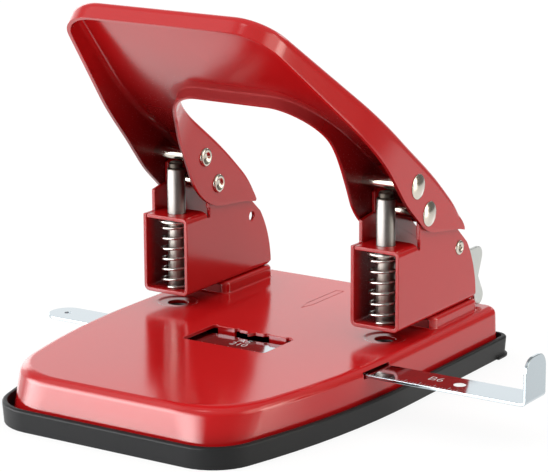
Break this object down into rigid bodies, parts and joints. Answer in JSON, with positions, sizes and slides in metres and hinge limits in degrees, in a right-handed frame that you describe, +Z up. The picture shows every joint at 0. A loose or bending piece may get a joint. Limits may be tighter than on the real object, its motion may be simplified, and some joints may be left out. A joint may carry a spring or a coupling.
{
  "type": "two-hole punch",
  "caption": "Desk hole punch with a drawn steel base in a chip tray, sprung punches in folded towers, a wide lever handle, a lock lever and a sliding paper gauge.",
  "frame": {"origin": "on the table, under the middle of the line between the two punch axes", "axes": "+X to the right along the punch line, +Y to the rear where the handle pivots, +Z up"},
  "size_m": [0.1795, 0.1522, 0.1263],
  "materials": {
    "tray_plastic": "dark grey moulded plastic, semi-matt",
    "red_paint": "glossy red stove enamel",
    "die_steel": "dark hardened steel",
    "rivet_steel": "bright zinc",
    "punch_steel": "ground steel",
    "spring_steel": "bright spring wire",
    "pin_nickel": "nickel plate",
    "latch_zinc": "bright zinc",
    "gauge_chrome": "polished chrome"
  },
  "bodies": {
    "tray_body": {"chip_tray": "tray_plastic"},
    "base_body": {"base_cover": "red_paint", "left_die": "die_steel", "right_die": "die_steel", "left_tower": "red_paint", "right_tower": "red_paint", "tower_rivets": "rivet_steel", "latch_rivet": "pin_nickel", "gauge_springs": "spring_steel"},
    "handle_body": {"handle": "red_paint", "left_drive_pin": "pin_nickel", "right_drive_pin": "pin_nickel", "left_pivot_pin": "pin_nickel", "right_pivot_pin": "pin_nickel"},
    "left_punch_body": {"left_punch": "punch_steel", "left_spring": "spring_steel", "left_washer": "rivet_steel", "left_clip": "die_steel"},
    "right_punch_body": {"right_punch": "punch_steel", "right_spring": "spring_steel", "right_washer": "rivet_steel", "right_clip": "die_steel"},
    "latch_body": {"lock_latch": "latch_zinc"},
    "gauge_body": {"paper_gauge": "gauge_chrome"}
  },
  "joints": [
    {"name": "tray_release", "type": "slide", "parent": "tray_body", "child": "base_body", "axis": [0, 0, 1], "range_m": [0, 0.03]},
    {"name": "handle_hinge", "type": "hinge", "parent": "base_body", "child": "handle_body", "pos_m": [0, 0.0095, 0.0565], "axis": [1, 0, 0], "range_deg": [0, 45], "stiffness_Nm_per_rad": 0.325, "springref_deg": -36.67},
    {"name": "left_punch_slide", "type": "slide", "parent": "base_body", "child": "left_punch_body", "axis": [0, 0, -1], "range_m": [0, 0.0082], "deforming": ["left_spring"]},
    {"name": "right_punch_slide", "type": "slide", "parent": "base_body", "child": "right_punch_body", "axis": [0, 0, -1], "range_m": [0, 0.0082], "deforming": ["right_spring"]},
    {"name": "latch_hinge", "type": "hinge", "parent": "base_body", "child": "latch_body", "pos_m": [0.0466, 0.0315, 0.0406], "axis": [1, 0, 0], "range_deg": [0, 40]},
    {"name": "gauge_slide", "type": "slide", "parent": "base_body", "child": "gauge_body", "axis": [1, 0, 0], "range_m": [-0.048, 0.015]}
  ],
  "couplings": [
    {"joint": "left_punch_slide", "follows": "handle_hinge", "m_per_rad": 0.0103},
    {"joint": "right_punch_slide", "follows": "handle_hinge", "m_per_rad": 0.0103}
  ]
}
